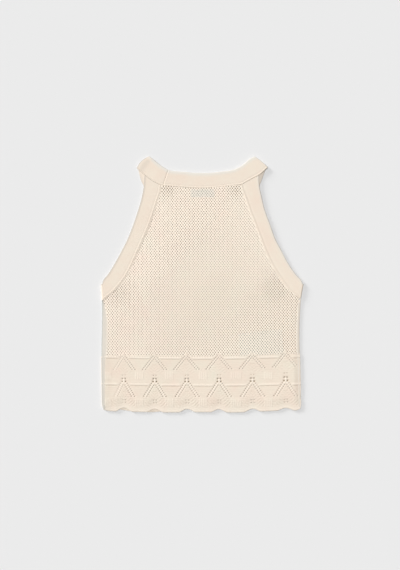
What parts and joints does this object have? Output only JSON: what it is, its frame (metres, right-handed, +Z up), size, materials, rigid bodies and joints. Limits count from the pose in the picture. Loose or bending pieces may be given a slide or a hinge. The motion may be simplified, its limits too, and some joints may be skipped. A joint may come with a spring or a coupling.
{
  "type": "knit halter top",
  "caption": "Sleeveless halter-neck lace-knit top lying flat, with a net body, pointelle border, scalloped hem and double-knit neckband and armbands.",
  "frame": {"origin": "middle of the laid-out garment's box, on the surface it lies on", "axes": "+X across the garment to the right as seen from above, +Y along it from the hem to the neck, +Z up from the surface through its layers"},
  "size_m": [0.3906, 0.494, 0.0055],
  "materials": {
    "net_knit": "matt fine-gauge lace knit, warm cream",
    "band_knit": "matt close double knit, warm cream",
    "woven_label": "soft white woven label, blank"
  },
  "bodies": {
    "root": {"front_panel": "net_knit", "back_panel": "net_knit", "neckband": "band_knit", "armband_left": "band_knit", "armband_right": "band_knit", "neck_label": "woven_label", "care_label": "woven_label"}
  },
  "joints": []
}
